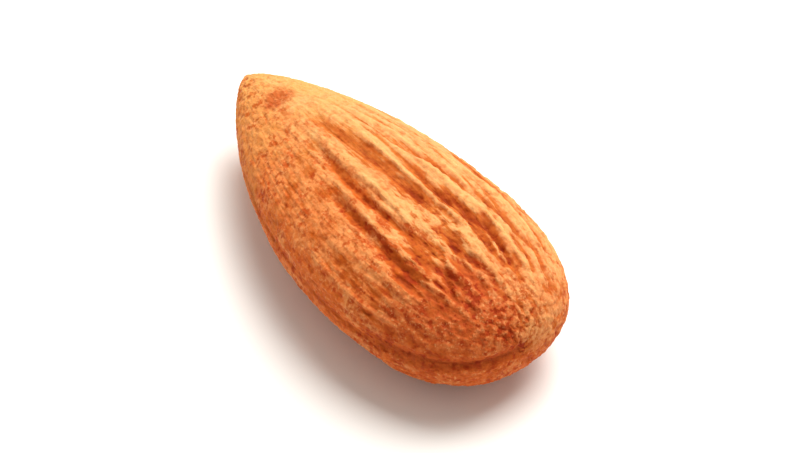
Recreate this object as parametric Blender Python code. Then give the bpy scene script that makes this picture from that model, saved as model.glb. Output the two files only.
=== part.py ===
# One shelled almond kernel in its wrinkled brown skin, lying on its broad side.
# Run it with: blender --background --python part.py
#
# Frame: the origin is on the surface under the middle of the kernel, +X runs from the
# pointed tip to the round end, +Y across the width and +Z up. Blender units are metres.
#
# A place on the skin is given by two numbers: its share of the length, 0 at the tip and
# 1 at the round end, and its angle round the long axis in degrees, 0 at the +Y edge,
# 90 on top, 180 at the -Y edge and 270 underneath.

import math

import bmesh
import bpy
from mathutils import Vector

MM = 0.001

# Driving dimensions
LENGTH = 26.0 * MM
WIDTH = 12.4 * MM
THICKNESS = 8.2 * MM
SIDE_BOW = 0.48 * MM  # how far the middle leans to -Y, so that one edge is rounder
REST_CUT = 0.14 * MM  # what the small flat spot takes off the belly

# How fast the outline widens from each end: 1 is a cone's point, 0.5 a round nose
TIP_TAPER_ACROSS = 0.73
END_TAPER_ACROSS = 0.37
TIP_TAPER_THROUGH = 0.69
END_TAPER_THROUGH = 0.38

# The mesh
AROUND = 156
ALONG = 36
WELD = 0.01 * MM
SHARP_EDGE = 60.0  # degrees, only the rim of the flat spot would be sharper

# Folds of the skin on the upper face: from share, to share, angle at each end,
# height (a groove is below zero) and half width in degrees
UPPER_FOLDS = [
    (0.47, 0.88, 119, 121, -0.21 * MM, 2.3),
    (0.42, 0.87, 112, 116, 0.18 * MM, 2.8),
    (0.36, 0.81, 108, 105, -0.26 * MM, 2.2),
    (0.28, 0.77, 99, 99, 0.20 * MM, 3.2),
    (0.24, 0.72, 91, 82, -0.22 * MM, 4.4),
    (0.34, 0.86, 80, 79, 0.17 * MM, 2.6),
    (0.46, 0.67, 74, 75, -0.20 * MM, 1.8),
    (0.57, 0.83, 76, 66, -0.29 * MM, 2.6),
    (0.70, 0.95, 66, 69, -0.32 * MM, 2.0),
    (0.68, 0.94, 72, 77, -0.20 * MM, 1.7),
    (0.46, 0.70, 70, 62, 0.13 * MM, 2.0),
    (0.60, 0.94, 64, 61, 0.19 * MM, 2.4),
    (0.42, 0.71, 68, 57, -0.22 * MM, 2.0),
    (0.61, 0.97, 58, 43, -0.17 * MM, 2.1),
    (0.56, 0.92, 44, 38, 0.14 * MM, 2.6),
    (0.46, 0.90, 38, 34, -0.16 * MM, 2.6),
    (0.66, 0.82, 97, 96, -0.10 * MM, 2.0),
    (0.68, 0.89, 85, 101, -0.20 * MM, 1.8),
    (0.70, 0.92, 94, 107, 0.17 * MM, 2.3),
    (0.74, 0.93, 93, 124, -0.25 * MM, 1.8),
    (0.76, 0.97, 82, 105, -0.12 * MM, 2.2),
    (0.70, 0.95, 84, 83, 0.17 * MM, 3.2),
    (0.82, 0.98, 100, 122, -0.08 * MM, 2.2),
    (0.77, 0.94, 57, 56, -0.15 * MM, 1.9),
    (0.64, 0.79, 82, 82, -0.14 * MM, 1.8),
    (0.72, 0.90, 126, 128, -0.12 * MM, 1.8),
    (0.52, 0.88, 136, 129, 0.09 * MM, 3.2),
    (0.54, 0.86, 146, 141, -0.08 * MM, 3.6),
]
FOLD_FADE = 0.10  # share of the length over which a fold rises and dies out
FOLD_SWAY = 0.7  # degrees that a fold wanders to each side of its line
FOLD_SWAY_RATE = 19.0
FOLD_SWAY_STEP = 2.0  # keeps neighbouring folds from swaying together

# Two sets of smaller folds follow a rule: fine ones between those of the upper face, and
# broader ones on the lower face, which the photograph hides. Each set has its number of
# folds, first and last angle, height, half width in degrees, the share where the first
# folds start and how far the starts spread, and the same for their ends.
FINE_FOLDS = (26, 12.0, 168.0, 0.060 * MM, 2.0, 0.44, 0.26, 0.94, 0.16)
LOWER_FOLDS = (16, 172.0, 372.0, 0.13 * MM, 3.4, 0.20, 0.26, 0.94, 0.16)
FOLD_SLANT = 2.0  # degrees that each end of such a fold stands off its middle
GOLDEN = 0.618034  # spaces the starts and ends so that no two folds match

# The smooth patch round the flat spot that the kernel lies on
PATCH_HALF_LENGTH = 5.2 * MM
PATCH_HALF_WIDTH = 2.7 * MM
PATCH_EDGE = 0.5  # where the folds begin, as a share of the patch's half length

# Broad, shallow unevenness: height, waves round the kernel and turn along its length
SWELLS = [(-0.13 * MM, 3.0, 5.0), (-0.04 * MM, 2.0, -9.0)]

# The crease that runs round the blunt end a little above the edge, and dies out at +Y
CREASE_DEPTH = 0.24 * MM
CREASE_HEIGHT = 0.45 * MM
CREASE_HALF_WIDTH = 0.32 * MM
CREASE_FROM = 0.72
CREASE_FULL = 0.86
CREASE_SIDE_END = 0.16  # shares of the width
CREASE_SIDE_FULL = -0.06

# The scar where the stalk was, on the upper face just behind the tip
SCAR_SHARE = 0.158
SCAR_ANGLE = 99.0
SCAR_HALF_LENGTH = 0.034
SCAR_HALF_WIDTH = 20.0
SCAR_DEPTH = 0.14 * MM

SKIN_COLOUR = (0.60, 0.23, 0.075, 1.0)
SKIN_ROUGHNESS = 0.62


def clear_scene():
    for obj in list(bpy.data.objects):
        bpy.data.objects.remove(obj, do_unlink=True)


def smooth_step(value, low=0.0, high=1.0):
    value = min(max((value - low) / (high - low), 0.0), 1.0)
    return value * value * (3.0 - 2.0 * value)


def bump(distance, half_width):
    return math.exp(-((distance / half_width) ** 2))


def angle_between(angle, other):
    """The angle from other to angle in degrees, from -180 to 180."""
    return (angle - other + 180.0) % 360.0 - 180.0


def taper(share, at_tip, at_end):
    """The outline's half width as a share of its largest, at this share of the length."""
    widest = at_tip / (at_tip + at_end)
    largest = widest**at_tip * (1.0 - widest) ** at_end
    return share**at_tip * (1.0 - share) ** at_end / largest


def smooth_kernel_point(share, angle):
    """A place on the kernel before its skin is wrinkled."""
    turn = math.radians(angle)
    half_width = WIDTH / 2 * taper(share, TIP_TAPER_ACROSS, END_TAPER_ACROSS)
    half_thickness = THICKNESS / 2 * taper(share, TIP_TAPER_THROUGH, END_TAPER_THROUGH)
    lean = SIDE_BOW * (1.0 - math.sin(math.pi * share))
    return Vector(
        (
            (share - 0.5) * LENGTH,
            half_width * math.cos(turn) + lean,
            half_thickness * math.sin(turn),
        )
    )


def spread_folds(rule):
    """Crests and grooves in turn, evenly spaced from one angle to another."""
    count, from_angle, to_angle, height, half_width, start, start_spread, end, end_spread = rule
    step = (to_angle - from_angle) / count
    folds = []
    for k in range(count):
        fold_start = start + start_spread * (k * GOLDEN % 1.0)
        fold_end = end - end_spread * (k * GOLDEN * GOLDEN % 1.0)
        angle = from_angle + (k + 0.5) * step
        signed_height = height if k % 2 else -height
        slant = (angle - FOLD_SLANT, angle + FOLD_SLANT)
        folds.append((fold_start, fold_end, *slant, signed_height, half_width))
    return folds


def fold_height(fold, index, share, angle):
    start, end, start_angle, end_angle, height, half_width = fold
    if not start < share < end:
        return 0.0
    done = (share - start) / (end - start)
    line = start_angle + (end_angle - start_angle) * done
    line += FOLD_SWAY * math.sin(FOLD_SWAY_RATE * share + FOLD_SWAY_STEP * index)
    fade = smooth_step((share - start) / FOLD_FADE) * smooth_step((end - share) / FOLD_FADE)
    return height * fade * bump(angle_between(angle, line), half_width)


def rest_patch(point):
    """0 on the smooth patch that the kernel lies on, 1 away from it."""
    if point.z > 0.0:
        return 1.0
    widest = TIP_TAPER_THROUGH / (TIP_TAPER_THROUGH + END_TAPER_THROUGH)
    along = (point.x - (widest - 0.5) * LENGTH) / PATCH_HALF_LENGTH
    across = point.y / PATCH_HALF_WIDTH
    return smooth_step(math.hypot(along, across), PATCH_EDGE, PATCH_EDGE + 1.0)


def crease_height(share, point):
    side = 1.0 - smooth_step(point.y / WIDTH, CREASE_SIDE_FULL, CREASE_SIDE_END)
    along = smooth_step(share, CREASE_FROM, CREASE_FULL)
    return -CREASE_DEPTH * side * along * bump(point.z - CREASE_HEIGHT, CREASE_HALF_WIDTH)


def scar_height(share, angle):
    along = bump(share - SCAR_SHARE, SCAR_HALF_LENGTH)
    return -SCAR_DEPTH * along * bump(angle_between(angle, SCAR_ANGLE), SCAR_HALF_WIDTH)


def swell_height(share, angle):
    turn = math.radians(angle)
    waves = sum(height * math.sin(round_it * turn + along * share) for height, round_it, along in SWELLS)
    return math.sin(math.pi * share) * waves


def skin_height(share, angle, point, folds):
    relief = sum(fold_height(fold, k, share, angle) for k, fold in enumerate(folds))
    relief += swell_height(share, angle)
    relief += scar_height(share, angle)
    return relief * rest_patch(point) + crease_height(share, point)


def skin_material():
    material = bpy.data.materials.new("almond_skin")
    material.use_nodes = True
    shader = material.node_tree.nodes["Principled BSDF"]
    shader.inputs["Base Color"].default_value = SKIN_COLOUR
    shader.inputs["Roughness"].default_value = SKIN_ROUGHNESS
    shader.inputs["Metallic"].default_value = 0.0
    return material


def shape_kernel(bm):
    """Turns a unit ball, whose poles are the kernel's ends, into the wrinkled kernel."""
    places = {}
    for vert in bm.verts:
        share = min(max((1.0 + vert.co.z) / 2, 0.0), 1.0)
        angle = math.degrees(math.atan2(vert.co.y, vert.co.x)) % 360.0
        places[vert] = (share, angle)
        vert.co = smooth_kernel_point(share, angle)
    bm.normal_update()
    folds = UPPER_FOLDS + spread_folds(FINE_FOLDS) + spread_folds(LOWER_FOLDS)
    moves = {
        vert: vert.normal * skin_height(share, angle, vert.co, folds)
        for vert, (share, angle) in places.items()
    }
    for vert, move in moves.items():
        vert.co += move


def cut_rest_spot(bm):
    """Cuts the belly level, so that the kernel lies on one small flat spot."""
    level = min(vert.co.z for vert in bm.verts) + REST_CUT
    cut = bmesh.ops.bisect_plane(
        bm,
        geom=bm.verts[:] + bm.edges[:] + bm.faces[:],
        dist=WELD,
        plane_co=(0.0, 0.0, level),
        plane_no=(0.0, 0.0, -1.0),
        clear_outer=True,
    )
    rim = [piece for piece in cut["geom_cut"] if isinstance(piece, bmesh.types.BMEdge)]
    bmesh.ops.edgeloop_fill(bm, edges=rim)
    for vert in bm.verts:
        if vert.co.z < level + WELD:
            vert.co.z = level


def centre_on_origin(bm):
    """Puts the middle of the box's underside at the origin."""
    low = Vector([min(vert.co[axis] for vert in bm.verts) for axis in range(3)])
    high = Vector([max(vert.co[axis] for vert in bm.verts) for axis in range(3)])
    foot = Vector(((low.x + high.x) / 2, (low.y + high.y) / 2, low.z))
    bmesh.ops.translate(bm, verts=bm.verts[:], vec=-foot)


def build_kernel():
    bm = bmesh.new()
    bmesh.ops.create_uvsphere(bm, u_segments=AROUND, v_segments=ALONG, radius=1.0)
    shape_kernel(bm)
    cut_rest_spot(bm)
    centre_on_origin(bm)
    bmesh.ops.recalc_face_normals(bm, faces=bm.faces[:])
    mesh = bpy.data.meshes.new("kernel")
    bm.to_mesh(mesh)
    bm.free()
    mesh.shade_smooth()
    mesh.set_sharp_from_angle(angle=math.radians(SHARP_EDGE))
    mesh.materials.append(skin_material())
    return bpy.data.objects.new("kernel", mesh)


def main():
    clear_scene()
    collection = bpy.data.collections.new("almond")
    bpy.context.scene.collection.children.link(collection)
    collection.objects.link(build_kernel())


main()
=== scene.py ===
# Looks of one shelled almond: the wrinkled brown skin, a pale floor, soft light and the camera.
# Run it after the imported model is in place; every length here is in metres.
import math

import bpy
import numpy as np
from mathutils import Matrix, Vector


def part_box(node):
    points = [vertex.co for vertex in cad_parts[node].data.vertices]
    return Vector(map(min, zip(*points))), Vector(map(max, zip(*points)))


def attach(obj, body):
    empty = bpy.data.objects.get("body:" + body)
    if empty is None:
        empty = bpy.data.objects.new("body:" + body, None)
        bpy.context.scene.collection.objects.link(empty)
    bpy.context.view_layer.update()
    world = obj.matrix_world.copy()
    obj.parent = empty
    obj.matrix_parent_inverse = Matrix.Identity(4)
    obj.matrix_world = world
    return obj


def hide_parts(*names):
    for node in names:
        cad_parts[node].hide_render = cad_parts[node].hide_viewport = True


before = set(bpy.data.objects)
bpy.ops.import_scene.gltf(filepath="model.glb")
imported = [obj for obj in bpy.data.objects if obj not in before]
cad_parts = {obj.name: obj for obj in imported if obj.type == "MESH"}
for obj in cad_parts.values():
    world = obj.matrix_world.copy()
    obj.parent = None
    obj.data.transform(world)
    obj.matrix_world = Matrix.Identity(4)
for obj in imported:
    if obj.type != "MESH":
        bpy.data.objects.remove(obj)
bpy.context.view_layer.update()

mm = 0.001
print("frame loaded:", sorted(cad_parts))


# Node helpers, shared by the shape and the finish


class Field:
    # a number inside a node tree: sums and products of fields add Math nodes to it

    def __init__(self, tree, source):
        self.tree = tree
        self.source = source

    def do(self, operation, *others):
        node = addNode(self.tree, "ShaderNodeMath", operation=operation)
        for socket, value in zip(node.inputs, (self, *others)):
            feed(self.tree, socket, value)
        return Field(self.tree, node.outputs[0])

    def __add__(self, other):
        return self.do("ADD", other)

    def __sub__(self, other):
        return self.do("SUBTRACT", other)

    def __mul__(self, other):
        return self.do("MULTIPLY", other)

    def __truediv__(self, other):
        return self.do("DIVIDE", other)

    def __pow__(self, other):
        return self.do("POWER", other)

    def __rsub__(self, other):
        return Field(self.tree, other).do("SUBTRACT", self)

    __radd__ = __add__
    __rmul__ = __mul__


def addNode(tree, kind, **settings):
    node = tree.nodes.new(kind)
    place = len(tree.nodes)
    node.location = (place % 16 * 190, -(place // 16) * 260)
    for name, value in settings.items():
        setattr(node, name, value)
    return node


def feed(tree, socket, value):
    value = value.source if isinstance(value, Field) else value
    if isinstance(value, bpy.types.NodeSocket):
        tree.links.new(value, socket)
    else:
        socket.default_value = value


def ramp(value, low, high, lowResult=0.0, highResult=1.0):
    # a smooth step from lowResult to highResult as value goes from low to high
    node = addNode(value.tree, "ShaderNodeMapRange", interpolation_type="SMOOTHSTEP")
    for name, given in zip(("Value", "From Min", "From Max", "To Min", "To Max"),
                           (value, low, high, lowResult, highResult)):
        feed(value.tree, node.inputs[name], given)
    return Field(value.tree, node.outputs["Result"])


def bell(distance, halfWidth):
    # 1 in the middle, fading away on both sides
    return ((distance / halfWidth).do("ABSOLUTE") ** 2.0 * -1.0).do("EXPONENT")


def turnBetween(angle, other):
    # degrees from one angle to the other, the short way round
    return (angle - other).do("WRAP", 180.0, -180.0)


def vectorOf(tree, x, y, z):
    node = addNode(tree, "ShaderNodeCombineXYZ")
    for socket, value in zip(node.inputs, (x, y, z)):
        feed(tree, socket, value)
    return node.outputs[0]


def partsOf(tree, vector):
    node = addNode(tree, "ShaderNodeSeparateXYZ")
    feed(tree, node.inputs[0], vector)
    return [Field(tree, socket) for socket in node.outputs]


def scaleVector(tree, vector, x, y, z):
    node = addNode(tree, "ShaderNodeVectorMath", operation="MULTIPLY")
    feed(tree, node.inputs[0], vector)
    node.inputs[1].default_value = (x, y, z)
    return node.outputs[0]


def noiseOf(tree, place, scale=1.0, stretch=None, detail=2.0, roughness=0.5, distortion=0.0):
    # smooth noise from 0 to 1
    if stretch:
        place = scaleVector(tree, place, *stretch)
    node = addNode(tree, "ShaderNodeTexNoise")
    feed(tree, node.inputs["Vector"], place)
    for name, value in (("Scale", scale), ("Detail", detail), ("Roughness", roughness),
                        ("Distortion", distortion)):
        feed(tree, node.inputs[name], value)
    return Field(tree, node.outputs[0])


def cellsOf(tree, place, scale):
    # distance to the nearest of many scattered points
    node = addNode(tree, "ShaderNodeTexVoronoi")
    feed(tree, node.inputs["Vector"], place)
    feed(tree, node.inputs["Scale"], scale)
    return Field(tree, node.outputs["Distance"])


# The kernel's skin. A place on it is its share of the length, 0 at the tip and 1 at the round end,
# and its angle round the long axis in degrees: 0 at the +Y edge, 90 on top, 180 at the -Y edge.

kernelForm = {
    "Length": 26.0 * mm,
    "Width": 12.4 * mm,
    "Thickness": 8.2 * mm,
    "Side Bow": 0.48 * mm,  # how far the middle leans to -Y
    "Tip Taper Across": 0.73,  # 1 is a cone's point, 0.5 a round nose
    "End Taper Across": 0.37,
    "Tip Taper Through": 0.69,
    "End Taper Through": 0.38,
    "Crease Depth": 0.24 * mm,  # the crease round the blunt end
    "Scar Depth": 0.14 * mm,  # the stalk's scar behind the tip
    "Ridge Height": 0.10 * mm,  # narrow ridges between the folds
    "Knob Height": 0.06 * mm,  # short knobs, mostly at the blunt end
    "Streak Height": 0.09 * mm,  # fine lines along the ridges
    "Grain Height": 0.055 * mm,  # the scurfy grain all over
    "Pit Depth": 0.04 * mm,
    "Crack Depth": 0.07 * mm,  # wiggling wrinkles towards the round end
}
kernelMesh = {"Segments": 380, "Rings": 262}
restSpot = {
    "cut": 0.14 * mm,  # what the flat spot takes off the belly
    "soften": 0.02 * mm,  # how softly its rim turns up
    "offset": 0.1449,  # middle of the smooth patch round it, in lengths from the kernel's middle
    "patchHalfLength": 5.2 * mm,
    "patchHalfWidth": 2.7 * mm,
    "patchRim": (0.5, 1.5),  # the relief grows from none to full over these shares of the patch's size
    "topStart": -0.0001 * mm,  # above this level there is no patch
}
scarPlace = {"share": 0.158, "halfLength": 0.034, "angle": 99.0, "halfTurn": 20.0}
creasePlace = {
    "level": 0.45 * mm,
    "halfHeight": 0.32 * mm,
    "sides": (-0.06, 0.16),  # widths from the middle between which it dies out towards +Y
    "tint": 2.2,  # how much more it takes the grooves' colour than a fold of its depth
}
# broad waves of the skin: how often round the kernel, radians of swing along it, height
broadWaves = [
    (3.0, 5.0, -0.13 * mm),
    (2.0, -9.0, -0.04 * mm),
]

# from share, to share, angle at each end, height (a groove is below zero), half width in degrees
upperFolds = [
    (0.47, 0.88, 119, 121, -0.21 * mm, 2.3),
    (0.42, 0.87, 112, 116, 0.18 * mm, 2.8),
    (0.36, 0.81, 108, 105, -0.26 * mm, 2.2),
    (0.28, 0.77, 99, 99, 0.20 * mm, 3.2),
    (0.24, 0.72, 91, 82, -0.22 * mm, 4.4),
    (0.34, 0.86, 80, 79, 0.17 * mm, 2.6),
    (0.46, 0.67, 74, 75, -0.20 * mm, 1.8),
    (0.57, 0.83, 76, 66, -0.29 * mm, 2.6),
    (0.70, 0.95, 66, 69, -0.32 * mm, 2.0),
    (0.68, 0.94, 72, 77, -0.20 * mm, 1.7),
    (0.46, 0.70, 70, 62, 0.13 * mm, 2.0),
    (0.60, 0.94, 64, 61, 0.19 * mm, 2.4),
    (0.42, 0.71, 68, 57, -0.22 * mm, 2.0),
    (0.61, 0.97, 58, 43, -0.17 * mm, 2.1),
    (0.56, 0.92, 44, 38, 0.14 * mm, 2.6),
    (0.46, 0.90, 38, 34, -0.16 * mm, 2.6),
    (0.66, 0.82, 97, 96, -0.10 * mm, 2.0),
    (0.68, 0.89, 85, 101, -0.20 * mm, 1.8),
    (0.70, 0.92, 94, 107, 0.17 * mm, 2.3),
    (0.74, 0.93, 93, 124, -0.25 * mm, 1.8),
    (0.76, 0.97, 82, 105, -0.12 * mm, 2.2),
    (0.70, 0.95, 84, 83, 0.17 * mm, 3.2),
    (0.82, 0.98, 100, 122, -0.08 * mm, 2.2),
    (0.77, 0.94, 57, 56, -0.15 * mm, 1.9),
    (0.64, 0.79, 82, 82, -0.14 * mm, 1.8),
    (0.72, 0.90, 126, 128, -0.12 * mm, 1.8),
    (0.52, 0.88, 136, 129, 0.09 * mm, 3.2),
    (0.54, 0.86, 146, 141, -0.08 * mm, 3.6),
]
foldFade = 0.10  # share of the length over which a fold rises and dies out
foldSway = 0.7  # degrees that a fold wanders to each side of its line
foldSwayRate = 19.0  # radians of that wandering over the whole length
foldSwayShift = 2.0  # radians by which one fold's wandering is ahead of the last one's

# two sets of smaller folds follow a rule: fine ones on the upper face, broader ones underneath
spreadFolds = [
    {"count": 26, "angles": (12.0, 168.0), "height": 0.060 * mm, "halfWidth": 2.0,
     "start": (0.44, 0.26), "end": (0.94, 0.16)},
    {"count": 16, "angles": (172.0, 372.0), "height": 0.13 * mm, "halfWidth": 3.4,
     "start": (0.20, 0.26), "end": (0.94, 0.16)},
]
foldSlant = 2.0  # degrees that each end of such a fold stands off its middle
golden = 0.618034  # spaces the starts and ends so that no two folds match

# fine relief along the kernel: from share, to share, strength before and after
reliefAlong = {
    "crease": (0.72, 0.86, 0.0, 1.0),
    "ridgeStart": (0.20, 0.42, 0.0, 1.0),
    "ridgeEnd": (0.84, 0.97, 1.0, 0.1),
    "bluntRidges": (0.62, 0.82, 0.0, 1.7),
    "knobs": (0.45, 0.85, 0.30, 1.0),
    "streakStart": (0.12, 0.36, 0.3, 1.0),
    "streakEnd": (0.78, 0.92, 1.0, 0.1),
    "cracks": (0.50, 0.66, 0.0, 1.0),
}
# and round it: middle angle, degrees off it where it starts and ends to fade, strength inside and outside
reliefAround = {
    "sideRidges": (65.0, 40.0, 66.0, 1.0, 0.20),
    "bluntRidges": (92.0, 22.0, 46.0, 1.0, 0.20),
    "bellyRidges": (270.0, 70.0, 95.0, 0.7, 0.0),
    "cracks": (92.0, 14.0, 44.0, 1.0, 0.25),
}
# its noise: stretch squeezes the noise along each axis, and a scale is per millimetre
reliefNoise = {
    "wander": {"stretch": (2.5, 2.5, 6.0)},
    "gaps": {"stretch": (7.0, 7.0, 7.0), "detail": 1.0},
    "knobs": {"stretch": (0.5, 2.0, 2.0), "detail": 2.5, "roughness": 0.6},
    "streaks": {"stretch": (26.0, 26.0, 7.0)},
    "grain": {"scale": 3.2, "detail": 1.5, "roughness": 0.6},
    "wrinkles": {"stretch": (0.8, 1.5, 1.5), "detail": 1.0, "distortion": 0.5},
}
# what the noise makes: from this value, to that value, result before and after
reliefSteps = {
    "gaps": (0.38, 0.56, 0.0, 1.0),
    "knobs": (0.32, 0.68, 0.0, 1.0),
    "grain": (0.34, 0.66, 0.0, 1.0),
    "cracks": (0.0, 0.045, 1.0, 0.0),
    "pits": (0.06, 0.36, 1.0, 0.0),
    "offFolds": (0.04, 0.16, 1.0, 0.25),  # by the fold's height in millimetres
    "steep": (0.82, 0.992, 1.0, 0.0),  # by the cosine of a flank's slope
}
ridgeRule = {
    "count": 40.0,
    "wander": 16.0,  # radians that the noise shifts them
    "sharpness": 1.5,
    "sink": 0.35,  # how far the skin between them lies below its mean
    "knobTint": 0.7,  # how much a knob counts as a ridge in the colours
}
pitsPerMm = 2.0


def foldsOfRule(rule):
    fromAngle, toAngle = rule["angles"]
    step = (toAngle - fromAngle) / rule["count"]
    folds = []
    for k in range(rule["count"]):
        start = rule["start"][0] + rule["start"][1] * (k * golden % 1.0)
        end = rule["end"][0] - rule["end"][1] * (k * golden * golden % 1.0)
        angle = fromAngle + (k + 0.5) * step
        height = rule["height"] if k % 2 else -rule["height"]
        folds.append((start, end, angle - foldSlant, angle + foldSlant, height, rule["halfWidth"]))
    return folds


def addInputs(tree, names, kind="NodeSocketFloat"):
    for name in names:
        tree.interface.new_socket(name=name, in_out="INPUT", socket_type=kind)


def makeFoldGroup():
    # one fold: its height at a place on the skin
    tree = bpy.data.node_groups.new("skinFold", "GeometryNodeTree")
    names = ("Share", "Angle", "Start", "End", "Start Angle", "End Angle", "Height", "Half Width", "Index")
    addInputs(tree, names)
    tree.interface.new_socket(name="Relief", in_out="OUTPUT", socket_type="NodeSocketFloat")
    given = addNode(tree, "NodeGroupInput")
    share, angle, start, end, startAngle, endAngle, height, halfWidth, index = (
        Field(tree, given.outputs[name]) for name in names)
    line = startAngle + (endAngle - startAngle) * ((share - start) / (end - start))
    line = line + (share * foldSwayRate + index * foldSwayShift).do("SINE") * foldSway
    fade = ramp(share, start, start + foldFade) * ramp(share, end - foldFade, end, 1.0, 0.0)
    relief = height * fade * bell(turnBetween(angle, line), halfWidth)
    feed(tree, addNode(tree, "NodeGroupOutput").inputs[0], relief)
    return tree


def taperOf(share, atTip, atEnd):
    widest = atTip / (atTip + atEnd)
    largest = widest ** atTip * (1.0 - widest) ** atEnd
    return share ** atTip * (1.0 - share) ** atEnd / largest


def setPosition(tree, geometry, position=None, offset=None):
    node = addNode(tree, "GeometryNodeSetPosition")
    feed(tree, node.inputs["Geometry"], geometry)
    if position is not None:
        feed(tree, node.inputs["Position"], position)
    if offset is not None:
        feed(tree, node.inputs["Offset"], offset)
    return node.outputs["Geometry"]


def storeValue(tree, geometry, name, value, kind="FLOAT"):
    node = addNode(tree, "GeometryNodeStoreNamedAttribute", data_type=kind, domain="POINT")
    feed(tree, node.inputs["Geometry"], geometry)
    feed(tree, node.inputs["Name"], name)
    feed(tree, node.inputs["Value"], value)
    return node.outputs["Geometry"]


def readValue(tree, name, kind="FLOAT"):
    node = addNode(tree, "GeometryNodeInputNamedAttribute", data_type=kind)
    feed(tree, node.inputs["Name"], name)
    return node.outputs["Attribute"]


def normalOf(tree):
    return addNode(tree, "GeometryNodeInputNormal").outputs[0]


def positionOf(tree):
    return partsOf(tree, addNode(tree, "GeometryNodeInputPosition").outputs[0])


def dotOf(tree, vector, other):
    node = addNode(tree, "ShaderNodeVectorMath", operation="DOT_PRODUCT")
    feed(tree, node.inputs[0], vector)
    feed(tree, node.inputs[1], other)
    return Field(tree, node.outputs["Value"])


def alongNormal(tree, height):
    node = addNode(tree, "ShaderNodeVectorMath", operation="SCALE")
    feed(tree, node.inputs[0], normalOf(tree))
    feed(tree, node.inputs["Scale"], height)
    return node.outputs[0]


def aroundAt(angle, middle, near, far, inside, outside):
    # a strength by how far round the kernel a place is from the middle angle
    return ramp(turnBetween(angle, middle).do("ABSOLUTE"), near, far, inside, outside)


def makeBall(tree, given):
    # a ball whose poles become the kernel's ends; each point keeps its place on the skin
    ball = addNode(tree, "GeometryNodeMeshUVSphere")
    for name in kernelMesh:
        feed(tree, ball.inputs[name], given.outputs[name])
    ballX, ballY, ballZ = positionOf(tree)
    share = ((ballZ + 1.0) * 0.5).do("MAXIMUM", 0.0).do("MINIMUM", 1.0)
    geometry = storeValue(tree, ball.outputs["Mesh"], "share", share)
    return storeValue(tree, geometry, "angle", ballY.do("ARCTAN2", ballX).do("DEGREES"))


def smoothForm(tree, form, share, turn):
    across = taperOf(share, form["Tip Taper Across"], form["End Taper Across"])
    through = taperOf(share, form["Tip Taper Through"], form["End Taper Through"])
    lean = form["Side Bow"] * (1.0 - (share * math.pi).do("SINE"))
    return vectorOf(tree, (share - 0.5) * form["Length"],
                    form["Width"] * 0.5 * across * turn.do("COSINE") + lean,
                    form["Thickness"] * 0.5 * through * turn.do("SINE"))


def sumOfFolds(tree, share, angle):
    foldGroup = makeFoldGroup()
    folds = Field(tree, 0.0)
    for k, fold in enumerate(upperFolds + [fold for rule in spreadFolds for fold in foldsOfRule(rule)]):
        node = addNode(tree, "GeometryNodeGroup", node_tree=foldGroup)
        for socket, value in zip(node.inputs, (share, angle, *fold, k)):
            feed(tree, socket, value)
        folds = folds + Field(tree, node.outputs[0])
    return folds


def patchOf(form, x, y, z):
    # 0 on the smooth patch that the kernel lies on, 1 away from it
    along = (x - restSpot["offset"] * form["Length"]) / restSpot["patchHalfLength"]
    across = y / restSpot["patchHalfWidth"]
    patch = ramp((along * along + across * across).do("SQRT"), *restSpot["patchRim"])
    return patch.do("MAXIMUM", ramp(z, restSpot["topStart"], 0.0))


def creaseOf(form, share, y, z):
    fromSide, toSide = creasePlace["sides"]
    side = ramp(y, form["Width"] * fromSide, form["Width"] * toSide, 1.0, 0.0)
    return (ramp(share, *reliefAlong["crease"]) * side
            * bell(z - creasePlace["level"], creasePlace["halfHeight"]))


def addBroadRelief(tree, geometry, form, share, angle, turn):
    # folds, broad unevenness, the scar and the crease, all off the smooth kernel
    x, y, z = positionOf(tree)
    folds = sumOfFolds(tree, share, angle)
    waves = Field(tree, 0.0)
    for times, swing, height in broadWaves:
        waves = waves + (turn * times + share * swing).do("SINE") * height
    swell = waves * (share * math.pi).do("SINE")
    scar = (bell(share - scarPlace["share"], scarPlace["halfLength"])
            * bell(turnBetween(angle, scarPlace["angle"]), scarPlace["halfTurn"]))
    patch = patchOf(form, x, y, z)
    crease = creaseOf(form, share, y, z) * form["Crease Depth"]
    relief = (folds + swell - scar * form["Scar Depth"]) * patch - crease
    geometry = storeValue(tree, geometry, "fold", (folds * patch - crease * creasePlace["tint"]) / mm)
    geometry = storeValue(tree, geometry, "scar", scar)
    for name, vector in (("smoothPlace", (x / mm, y / mm, z / mm)),
                         ("meridian", (turn.do("COSINE"), turn.do("SINE"), share))):
        geometry = storeValue(tree, geometry, name, vectorOf(tree, *vector), "FLOAT_VECTOR")
    geometry = storeValue(tree, geometry, "smoothNormal", normalOf(tree), "FLOAT_VECTOR")
    geometry = setPosition(tree, geometry, offset=alongNormal(tree, relief))
    slope = dotOf(tree, normalOf(tree), readValue(tree, "smoothNormal", "FLOAT_VECTOR"))
    return storeValue(tree, geometry, "steep", ramp(slope, *reliefSteps["steep"])), patch


def ridgesOf(tree, share, angle, turn, meridian, patch):
    # narrow ridges run with the folds, most of all on the +Y side and at the round end
    side = aroundAt(angle, *reliefAround["sideRidges"])
    blunt = ramp(share, *reliefAlong["bluntRidges"]) * aroundAt(angle, *reliefAround["bluntRidges"])
    belly = aroundAt(angle, *reliefAround["bellyRidges"])
    ridged = side.do("MAXIMUM", blunt).do("MAXIMUM", belly) * ramp(share, *reliefAlong["ridgeStart"]) * patch
    ridged = ridged * ramp(share, *reliefAlong["ridgeEnd"])
    wander = noiseOf(tree, meridian, **reliefNoise["wander"])
    lines = (turn * ridgeRule["count"] + (wander - 0.5) * ridgeRule["wander"]).do("SINE") * 0.5 + 0.5
    gaps = ramp(noiseOf(tree, meridian, **reliefNoise["gaps"]), *reliefSteps["gaps"])
    return (lines ** ridgeRule["sharpness"] * gaps - ridgeRule["sink"]) * ridged


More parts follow.
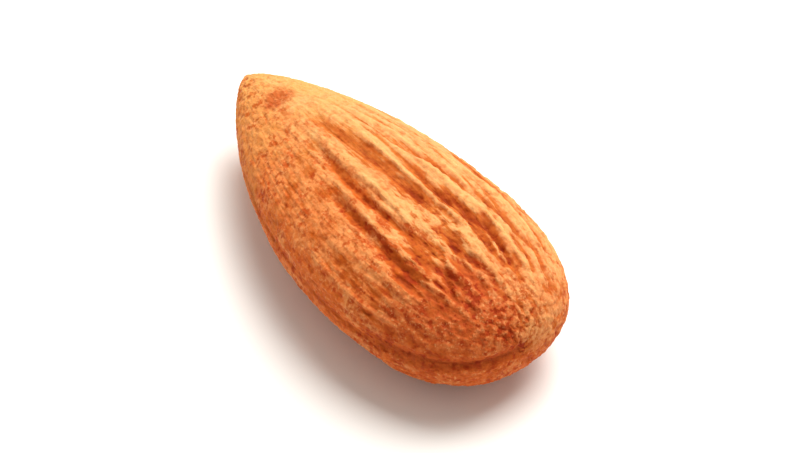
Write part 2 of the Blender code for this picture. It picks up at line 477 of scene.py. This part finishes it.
def cracksOf(tree, share, angle, smoothPlace):
    wrinkles = noiseOf(tree, smoothPlace, **reliefNoise["wrinkles"])
    cracked = ramp(share, *reliefAlong["cracks"]) * aroundAt(angle, *reliefAround["cracks"])
    return ramp((wrinkles - 0.5).do("ABSOLUTE"), *reliefSteps["cracks"]) * cracked


def addFineRelief(tree, geometry, form, share, angle, turn, patch):
    meridian = readValue(tree, "meridian", "FLOAT_VECTOR")
    smoothPlace = readValue(tree, "smoothPlace", "FLOAT_VECTOR")
    foldNear = Field(tree, readValue(tree, "fold")).do("ABSOLUTE")
    offFolds = ramp(foldNear, *reliefSteps["offFolds"])  # the folds themselves stay even
    ridge = ridgesOf(tree, share, angle, turn, meridian, patch) * offFolds
    knob = ramp(noiseOf(tree, smoothPlace, **reliefNoise["knobs"]), *reliefSteps["knobs"]) - 0.5
    knob = knob * ramp(share, *reliefAlong["knobs"]) * patch * offFolds
    streak = noiseOf(tree, meridian, **reliefNoise["streaks"]) - 0.5
    streak = streak * ramp(share, *reliefAlong["streakEnd"]) * ramp(share, *reliefAlong["streakStart"])
    grain = ramp(noiseOf(tree, smoothPlace, **reliefNoise["grain"]), *reliefSteps["grain"]) - 0.5
    crack = cracksOf(tree, share, angle, smoothPlace) * patch
    pit = ramp(cellsOf(tree, smoothPlace, pitsPerMm), *reliefSteps["pits"])
    geometry = storeValue(tree, geometry, "ridge", ridge + knob * ridgeRule["knobTint"])
    geometry = storeValue(tree, geometry, "pit", pit)
    geometry = storeValue(tree, geometry, "crack", crack)
    fine = (ridge * form["Ridge Height"] + knob * form["Knob Height"] + streak * form["Streak Height"]
            + grain * form["Grain Height"] - pit * form["Pit Depth"] - crack * form["Crack Depth"])
    return setPosition(tree, geometry, offset=alongNormal(tree, fine * patch))


def finishTree(tree, geometry, material):
    shade = addNode(tree, "GeometryNodeSetShadeSmooth")
    feed(tree, shade.inputs["Geometry"], geometry)
    realize = addNode(tree, "GeometryNodeRealizeInstances")
    feed(tree, realize.inputs["Geometry"], shade.outputs["Geometry"])
    paint = addNode(tree, "GeometryNodeSetMaterial")
    feed(tree, paint.inputs["Geometry"], realize.outputs["Geometry"])
    paint.inputs["Material"].default_value = material
    feed(tree, addNode(tree, "NodeGroupOutput").inputs[0], paint.outputs["Geometry"])


def makeKernelTree(material):
    tree = bpy.data.node_groups.new("almondKernel", "GeometryNodeTree")
    addInputs(tree, kernelForm)
    addInputs(tree, kernelMesh, "NodeSocketInt")
    tree.interface.new_socket(name="Geometry", in_out="OUTPUT", socket_type="NodeSocketGeometry")
    given = addNode(tree, "NodeGroupInput")
    form = {name: Field(tree, given.outputs[name]) for name in kernelForm}
    geometry = makeBall(tree, given)
    share = Field(tree, readValue(tree, "share"))
    angle = Field(tree, readValue(tree, "angle"))
    turn = angle.do("RADIANS")
    geometry = setPosition(tree, geometry, position=smoothForm(tree, form, share, turn))
    geometry, patch = addBroadRelief(tree, geometry, form, share, angle, turn)
    geometry = addFineRelief(tree, geometry, form, share, angle, turn, patch)
    finishTree(tree, geometry, material)
    return tree


def bakeTree(tree, name, values):
    # runs the tree once and keeps its result as a plain mesh
    maker = bpy.data.objects.new(name + ".maker", bpy.data.meshes.new(name + ".maker"))
    bpy.context.scene.collection.objects.link(maker)
    modifier = maker.modifiers.new(name, "NODES")
    modifier.node_group = tree
    for item in tree.interface.items_tree:
        if item.name in values:
            modifier[item.identifier] = values[item.name]
    evaluated = maker.evaluated_get(bpy.context.evaluated_depsgraph_get())
    mesh = bpy.data.meshes.new_from_object(evaluated)
    mesh.name = name
    bpy.data.objects.remove(maker)
    piece = bpy.data.objects.new(name, mesh)
    bpy.context.scene.collection.objects.link(piece)
    return piece


def restOnFloor(mesh):
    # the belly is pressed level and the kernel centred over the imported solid's foot
    low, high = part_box("kernel")
    points = np.empty(len(mesh.vertices) * 3, np.float32)
    mesh.vertices.foreach_get("co", points)
    points = points.reshape(-1, 3)
    middle = (points.max(axis=0) + points.min(axis=0)) / 2
    points[:, 0] += (low.x + high.x) / 2 - middle[0]
    points[:, 1] += (low.y + high.y) / 2 - middle[1]
    points[:, 2] += low.z - restSpot["cut"] - points[:, 2].min()
    level = points[:, 2]
    points[:, 2] = (level + np.sqrt(level ** 2 + restSpot["soften"] ** 2)) / 2
    mesh.vertices.foreach_set("co", points.ravel())
    mesh.update()


# The finish of the skin

skinColours = {
    "groove": (0.285, 0.034, 0.001, 1.0),
    "rust": (0.500, 0.090, 0.006, 1.0),
    "paleRust": (0.550, 0.145, 0.022, 1.0),
    # the next colour is painted shade, laid on the steep walls of the folds
    "paintedFlankShade": (0.560, 0.108, 0.012, 1.0),
    # low, middle and edge, and lowCrest and crest, run from the underside to the side that faces the light:
    # paler above and darker, redder below, partly the skin's own tone and partly painted light and shade
    "low": (0.700, 0.145, 0.022, 1.0),
    "middle": (0.725, 0.238, 0.064, 1.0),
    "edge": (0.710, 0.350, 0.130, 1.0),
    "lowCrest": (0.735, 0.245, 0.070, 1.0),
    "crest": (0.780, 0.405, 0.145, 1.0),
    "tip": (0.790, 0.350, 0.090, 1.0),
    "roundEnd": (0.490, 0.088, 0.015, 1.0),
    "scar": (0.480, 0.085, 0.013, 1.0),
    "darkSpeck": (0.660, 0.330, 0.150, 1.0),
    "paleSpeck": (0.830, 0.390, 0.145, 1.0),
}
skinNoise = {
    "streaks": {"stretch": (26.0, 26.0, 7.0), "detail": 3.0, "roughness": 0.65},
    "patches": {"scale": 0.35},
    "blotch": {"scale": 0.75},
    "grain": {"scale": 3.2, "detail": 3.5, "roughness": 0.65},
    "mottle": {"stretch": (0.9, 1.8, 1.8), "detail": 2.5, "roughness": 0.6},
    "specks": {"scale": 6.0, "roughness": 0.6},
    "crumbs": {"scale": 2.2, "roughness": 0.6},
    "running": {"stretch": (15.0, 15.0, 24.0), "detail": 2.5, "roughness": 0.6},
    "spots": {"scale": 2.5, "detail": 2.5, "roughness": 0.6},
}
# the edge side looks almost where the soft box stands; the skin is paler there partly by its own tone and
# partly as painted light
skinSides = {"edge": (0.5, 0.866), "sunny": (0.8, 0.6)}  # each looks this far towards +Y and up
# where each thing shows: from this value, to that value, result before and after
skinSteps = {
    "streakStart": (0.12, 0.36, 0.4, 1.0),  # by share of the length
    "streakEnd": (0.76, 0.92, 1.0, 0.1),
    "sunnyEnd": (0.88, 0.98, 1.0, 0.65),
    "blunt": (0.70, 0.92, 0.0, 1.0),
    "bluntEnd": (0.95, 0.99, 1.0, 0.75),
    "tip": (0.08, 0.42, 0.60, 0.0),
    "nearEnd": (0.82, 0.92, 0.0, 1.0),
    "dashesAlong": (0.46, 0.66, 0.0, 1.0),
    "speckless": (0.5, 0.9, 0.65, 0.25),
    "sunny": (0.45, 0.78, 0.0, 1.0),  # by side
    "low": (-0.35, 0.45, 1.0, 0.0),
    "pale": (0.45, 1.0, 0.0, 1.0),
    "tipSide": (-0.4, 0.6, 0.45, 1.0),
    "dashesOver": (0.72, 0.96, 0.25, 1.0),
    "crest": (0.02, 0.60, 0.0, 1.0),  # by tone
    "rust": (-0.50, 0.06, 1.0, 0.0),
    "groove": (-1.15, -0.42, 1.0, 0.0),
    "flakes": (-0.40, 0.10, 0.0, 1.0),
    "scar": (0.15, 0.75, 0.0, 0.85),  # by the scar's strength
    "clusters": (0.36, 0.64, 0.45, 1.3),  # by noise
    "darkSpecks": (0.34, 0.46, 0.2, 0.0),
    "darkCrumbs": (0.38, 0.54, 0.75, 0.0),
    "darkDashes": (0.38, 0.50, 1.3, 0.0),
    "paleSpecks": (0.54, 0.70, 0.0, 0.40),
    "paleDashes": (0.52, 0.63, 0.0, 0.60),
    "roughness": (0.3, 0.7, 0.58, 0.78),
}
# how much each thing lifts the tone, and how much more on the pale side or at the round end
toneWeights = {
    "all": 0.10,
    "fold": 2.8,
    "foldOnPale": 0.8,
    # steep walls are darkened too, as painted shade
    "steep": -0.12,
    "crack": -0.45,
    "ridge": 0.7,
    "ridgeAtEnd": 0.9,
    "streaks": 0.8,
    "streaksOnPale": 1.4,
    "streaksOnLow": -0.5,
    "patches": 0.3,
    "blotch": 1.7,
    "mottle": 1.6,
    "grain": 0.75,
    "atEnd": -0.05,
}
# how strongly one thing shows in, or gives way to, another
skinMix = {
    "mottleAtSides": 0.6,
    "patchesAtEnd": 0.30,
    "endOffSunny": 0.9,
    "endOffLow": 0.35,
    "paleOffEnd": 0.75,
    "mottleOffPale": 0.65,
    "edge": 0.85,
    "paintedFlankShade": 0.62,
    "flankOffPale": 0.28,
    "patchesAtTip": 0.3,
    "blotchAtTip": 0.5,
    "roundEnd": 0.94,
    "grainInScar": 0.6,
    "dashesOffSunny": 0.5,
    "pits": 0.45,
    "specksOffDashes": 0.5,
    "flakesOffEnd": 0.5,
}
skinBumps = {"streaks": 0.06 * mm, "dashes": 0.12 * mm, "grain": 0.10 * mm, "specks": 0.04 * mm}
skinShader = {
    "Specular IOR Level": 0.10,
    "Subsurface Weight": 0.12,
    "Subsurface Radius": (1.0, 0.35, 0.12),
    "Subsurface Scale": 0.4 * mm,
}


def mixColour(tree, share, low, high, blend="MIX"):
    # the sockets with these numbers are the Mix node's factor, its two colours and its result
    node = addNode(tree, "ShaderNodeMix", data_type="RGBA", blend_type=blend)
    for socket, value in ((node.inputs[0], share), (node.inputs[6], low), (node.inputs[7], high)):
        feed(tree, socket, value)
    return node.outputs[2]


def attributeOf(tree, name, socket="Fac"):
    return addNode(tree, "ShaderNodeAttribute", attribute_name=name).outputs[socket]


def bumpOf(tree, height, distance, normal=None):
    node = addNode(tree, "ShaderNodeBump")
    feed(tree, node.inputs["Height"], height)
    node.inputs["Distance"].default_value = distance
    if normal is not None:
        feed(tree, node.inputs["Normal"], normal)
    return node.outputs["Normal"]


def surveySkin(tree):
    # reads what the tree stored, draws the noise, and tells which side and end a place is on
    skin = {name: Field(tree, attributeOf(tree, name))
            for name in ("fold", "steep", "ridge", "pit", "crack", "share", "scar")}
    meridian = attributeOf(tree, "meridian", "Vector")
    place = attributeOf(tree, "smoothPlace", "Vector")  # in millimetres
    for name, noise in skinNoise.items():
        skin[name] = noiseOf(tree, meridian if name in ("streaks", "running") else place, **noise)
    share = skin["share"]
    skin["streaks"] = ((skin["streaks"] - 0.5) * ramp(share, *skinSteps["streakEnd"])
                       * ramp(share, *skinSteps["streakStart"]))
    around, over, _ = partsOf(tree, meridian)
    towards = {name: around * out + over * up for name, (out, up) in skinSides.items()}
    side = towards["edge"] + (skin["mottle"] - 0.5) * skinMix["mottleAtSides"]
    # sunny is painted light: on the side facing the soft box the round end's red and the dashes give way to
    # paler colour
    sunny = ramp(towards["sunny"], *skinSteps["sunny"]) * ramp(share, *skinSteps["sunnyEnd"])
    # low and pale: darker and redder underneath, paler towards the light, partly the skin's own tone and
    # partly painted shade and light
    low = ramp(side, *skinSteps["low"])
    blunt = ramp(share + (skin["patches"] - 0.5) * skinMix["patchesAtEnd"], *skinSteps["blunt"])
    blunt = blunt * (1.0 - sunny * skinMix["endOffSunny"]) * (1.0 - low * skinMix["endOffLow"])
    blunt = blunt * ramp(share, *skinSteps["bluntEnd"])
    pale = ramp(side, *skinSteps["pale"]) * (1.0 - blunt * skinMix["paleOffEnd"])
    skin.update(over=over, low=low, blunt=blunt, pale=pale)

    # short dark and pale dashes run along the skin, and turn to spots at the round end
    nearEnd = ramp(share, *skinSteps["nearEnd"])
    dashed = ramp(share, *skinSteps["dashesAlong"]) * ramp(over, *skinSteps["dashesOver"])
    dashed = dashed * (1.0 - sunny * skinMix["dashesOffSunny"])
    dashes = skin["running"] * (1.0 - nearEnd) + skin["spots"] * nearEnd
    skin.update(nearEnd=nearEnd, dashed=dashed, dashes=dashes)
    return skin


def toneOf(skin):
    # height on the skin decides the colour first: above 0 lie pale crests, below it red-brown grooves
    pale, low, blunt = skin["pale"], skin["low"], skin["blunt"]
    calm = 1.0 - pale * skinMix["mottleOffPale"]
    weight = toneWeights
    tone = skin["fold"] * (weight["fold"] + pale * weight["foldOnPale"])
    tone = tone + skin["steep"] * weight["steep"] + skin["crack"] * weight["crack"]
    tone = tone + skin["ridge"] * (weight["ridge"] + blunt * weight["ridgeAtEnd"])
    streaky = weight["streaks"] + pale * weight["streaksOnPale"] + low * weight["streaksOnLow"]
    tone = tone + skin["streaks"] * streaky + (skin["patches"] - 0.5) * weight["patches"]
    for name in ("blotch", "mottle"):
        tone = tone + (skin[name] - 0.5) * weight[name] * calm
    return tone + (skin["grain"] - 0.5) * weight["grain"] + weight["all"] + blunt * weight["atEnd"]


def paintRelief(tree, skin, tone):
    pale = skin["pale"]
    # paler colours on the side towards the light and darker, redder ones underneath: partly the skin's own
    # tone, partly painted light and shade
    colour = mixColour(tree, pale * skinMix["edge"], skinColours["middle"], skinColours["edge"])
    colour = mixColour(tree, skin["low"], colour, skinColours["low"])
    crest = mixColour(tree, pale, skinColours["lowCrest"], skinColours["crest"])
    colour = mixColour(tree, ramp(tone, *skinSteps["crest"]), colour, crest)
    rust = mixColour(tree, pale, skinColours["rust"], skinColours["paleRust"])
    colour = mixColour(tree, ramp(tone, *skinSteps["rust"]), colour, rust)
    colour = mixColour(tree, ramp(tone, *skinSteps["groove"]), colour, skinColours["groove"])
    # painted shade: steep walls of the folds take a darker, redder colour, less so on the side towards the
    # light
    paintedFlankShade = skin["steep"] * (skinMix["paintedFlankShade"] - pale * skinMix["flankOffPale"])
    return mixColour(tree, paintedFlankShade, colour, skinColours["paintedFlankShade"])


def paintEnds(tree, skin, colour):
    # the tip is yellower, the round end redder, and the scar rusty
    ragged = (skin["share"] + (skin["patches"] - 0.5) * skinMix["patchesAtTip"]
              + (skin["blotch"] - 0.5) * skinMix["blotchAtTip"])
    # the tip's yellow fades on the underside: painted shade
    tip = ramp(ragged, *skinSteps["tip"]) * ramp(skin["over"], *skinSteps["tipSide"])
    colour = mixColour(tree, tip, colour, skinColours["tip"])
    colour = mixColour(tree, skin["blunt"] * skinMix["roundEnd"], colour, skinColours["roundEnd"])
    scar = ramp(skin["scar"] + (skin["grain"] - 0.5) * skinMix["grainInScar"], *skinSteps["scar"])
    return mixColour(tree, scar, colour, skinColours["scar"])


def paintScurf(tree, skin, tone, colour):
    # dark pits and specks, and pale flakes on top
    specks, dashes, dashed = skin["specks"], skin["dashes"], skin["dashed"]
    # fewer specks on the paler side, which is partly painted light
    speckled = 1.0 - skin["pale"] * ramp(skin["share"], *skinSteps["speckless"])
    crumbs = ramp(skin["crumbs"], *skinSteps["darkCrumbs"]) * ramp(skin["blotch"], *skinSteps["clusters"])
    dark = skin["pit"] * skinMix["pits"] + ramp(specks, *skinSteps["darkSpecks"]) + crumbs
    dark = dark * (1.0 - dashed * skinMix["specksOffDashes"])
    dark = dark + ramp(dashes, *skinSteps["darkDashes"]) * dashed
    dark = (dark * speckled).do("MINIMUM", 1.0)
    colour = mixColour(tree, dark, colour, skinColours["darkSpeck"], "MULTIPLY")
    flakes = ramp(dashes, *skinSteps["paleDashes"]) * dashed
    flakes = flakes * (1.0 - skin["nearEnd"] * skinMix["flakesOffEnd"])
    flakes = (ramp(specks, *skinSteps["paleSpecks"]) + flakes) * ramp(tone, *skinSteps["flakes"])
    return mixColour(tree, flakes, colour, skinColours["paleSpeck"])


def makeSkinMaterial():
    material = bpy.data.materials.new("almondSkin")
    material.use_nodes = True
    tree = material.node_tree
    shader = tree.nodes["Principled BSDF"]
    skin = surveySkin(tree)
    tone = toneOf(skin)
    colour = paintRelief(tree, skin, tone)
    colour = paintEnds(tree, skin, colour)
    colour = paintScurf(tree, skin, tone, colour)
    feed(tree, shader.inputs["Base Color"], colour)
    feed(tree, shader.inputs["Roughness"], ramp(skin["grain"], *skinSteps["roughness"]))
    for name, value in skinShader.items():
        shader.inputs[name].default_value = value
    normal = None
    for name, distance in skinBumps.items():
        height = skin["dashes"] * skin["dashed"] if name == "dashes" else skin[name]
        normal = bumpOf(tree, height, distance, normal)
    feed(tree, shader.inputs["Normal"], normal)
    return material


def makeKernel():
    tree = makeKernelTree(makeSkinMaterial())
    skin = bakeTree(tree, "almond_skin", {**kernelForm, **kernelMesh})
    restOnFloor(skin.data)
    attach(skin, "root")
    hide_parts("kernel")
    print("skin made:", len(skin.data.polygons), "faces")
    return skin


# Floor, light and camera

studio = {
    "azimuth": 54.0,  # degrees round the kernel from -Y towards +X
    "elevation": 46.0,
    "distance": 0.312,
    "photoLens": 102.0,  # with this lens the kernel is as small in the frame as in the photograph
    "closer": 2.5,
    "reach": (0.01, 10.0),  # the nearest and farthest that the camera sees
    "floorSize": 3.0,
    "floorTints": ((0.90, 0.885, 0.860, 1.0), (0.92, 0.905, 0.880, 1.0)),
    "floorClouds": 30.0,  # per metre
    "floorShader": {"Roughness": 0.7, "Specular IOR Level": 0.1},
    "airColour": (1.0, 0.985, 0.91, 1.0),
    "airStrength": 0.50,
    "boxPlace": (-0.06, 0.20, 0.40),
    "boxSide": 0.36,
    "boxPower": 3.3,
    "boxColour": (1.0, 0.985, 0.965),
}


def makeFloor():
    material = bpy.data.materials.new("paleFloor")
    material.use_nodes = True
    tree = material.node_tree
    shader = tree.nodes["Principled BSDF"]
    place = addNode(tree, "ShaderNodeTexCoord").outputs["Object"]
    clouds = noiseOf(tree, place, studio["floorClouds"])
    feed(tree, shader.inputs["Base Color"], mixColour(tree, clouds, *studio["floorTints"]))
    for name, value in studio["floorShader"].items():
        shader.inputs[name].default_value = value
    bpy.ops.mesh.primitive_plane_add(size=studio["floorSize"])
    floor = bpy.context.object
    floor.name = "floor"
    floor.data.materials.append(material)


def makeAir():
    world = bpy.data.worlds.new("studioAir")
    world.use_nodes = True
    background = world.node_tree.nodes["Background"]
    background.inputs["Color"].default_value = studio["airColour"]
    background.inputs["Strength"].default_value = studio["airStrength"]
    bpy.context.scene.world = world


def makeSoftbox():
    # a square soft light high behind the kernel, turned towards it
    light = bpy.data.lights.new("topBox", "AREA")
    light.shape = "SQUARE"
    light.size = studio["boxSide"]
    light.energy = studio["boxPower"]
    light.color = studio["boxColour"]
    lamp = bpy.data.objects.new("topBox", light)
    lamp.location = studio["boxPlace"]
    lamp.rotation_euler = (-lamp.location).to_track_quat("-Z", "Y").to_euler()
    bpy.context.scene.collection.objects.link(lamp)


def makeCamera(skin):
    # the photograph's viewing direction, with the kernel in the middle of the frame
    around, above = math.radians(studio["azimuth"]), math.radians(studio["elevation"])
    back = Vector((math.sin(around) * math.cos(above), -math.cos(around) * math.cos(above), math.sin(above)))
    right = Vector((math.cos(around), math.sin(around), 0.0))
    up = back.cross(right)
    points = [vert.co for vert in skin.data.vertices]
    acrossList = [point.dot(right) for point in points]
    upList = [point.dot(up) for point in points]
    aim = right * (min(acrossList) + max(acrossList)) / 2 + up * (min(upList) + max(upList)) / 2
    camera = bpy.data.cameras.new("camera")
    camera.lens = studio["photoLens"] * studio["closer"]
    camera.clip_start, camera.clip_end = studio["reach"]
    holder = bpy.data.objects.new("camera", camera)
    holder.location = aim + back * studio["distance"]
    holder.rotation_euler = (-back).to_track_quat("-Z", "Y").to_euler()
    bpy.context.scene.collection.objects.link(holder)
    bpy.context.scene.camera = holder


def setView():
    scene = bpy.context.scene
    scene.view_settings.view_transform = "Standard"
    scene.view_settings.look = "None"
    scene.view_settings.exposure = 0.0


skin = makeKernel()
makeFloor()
makeAir()
makeSoftbox()
makeCamera(skin)
setView()
print("floor, light and camera placed")
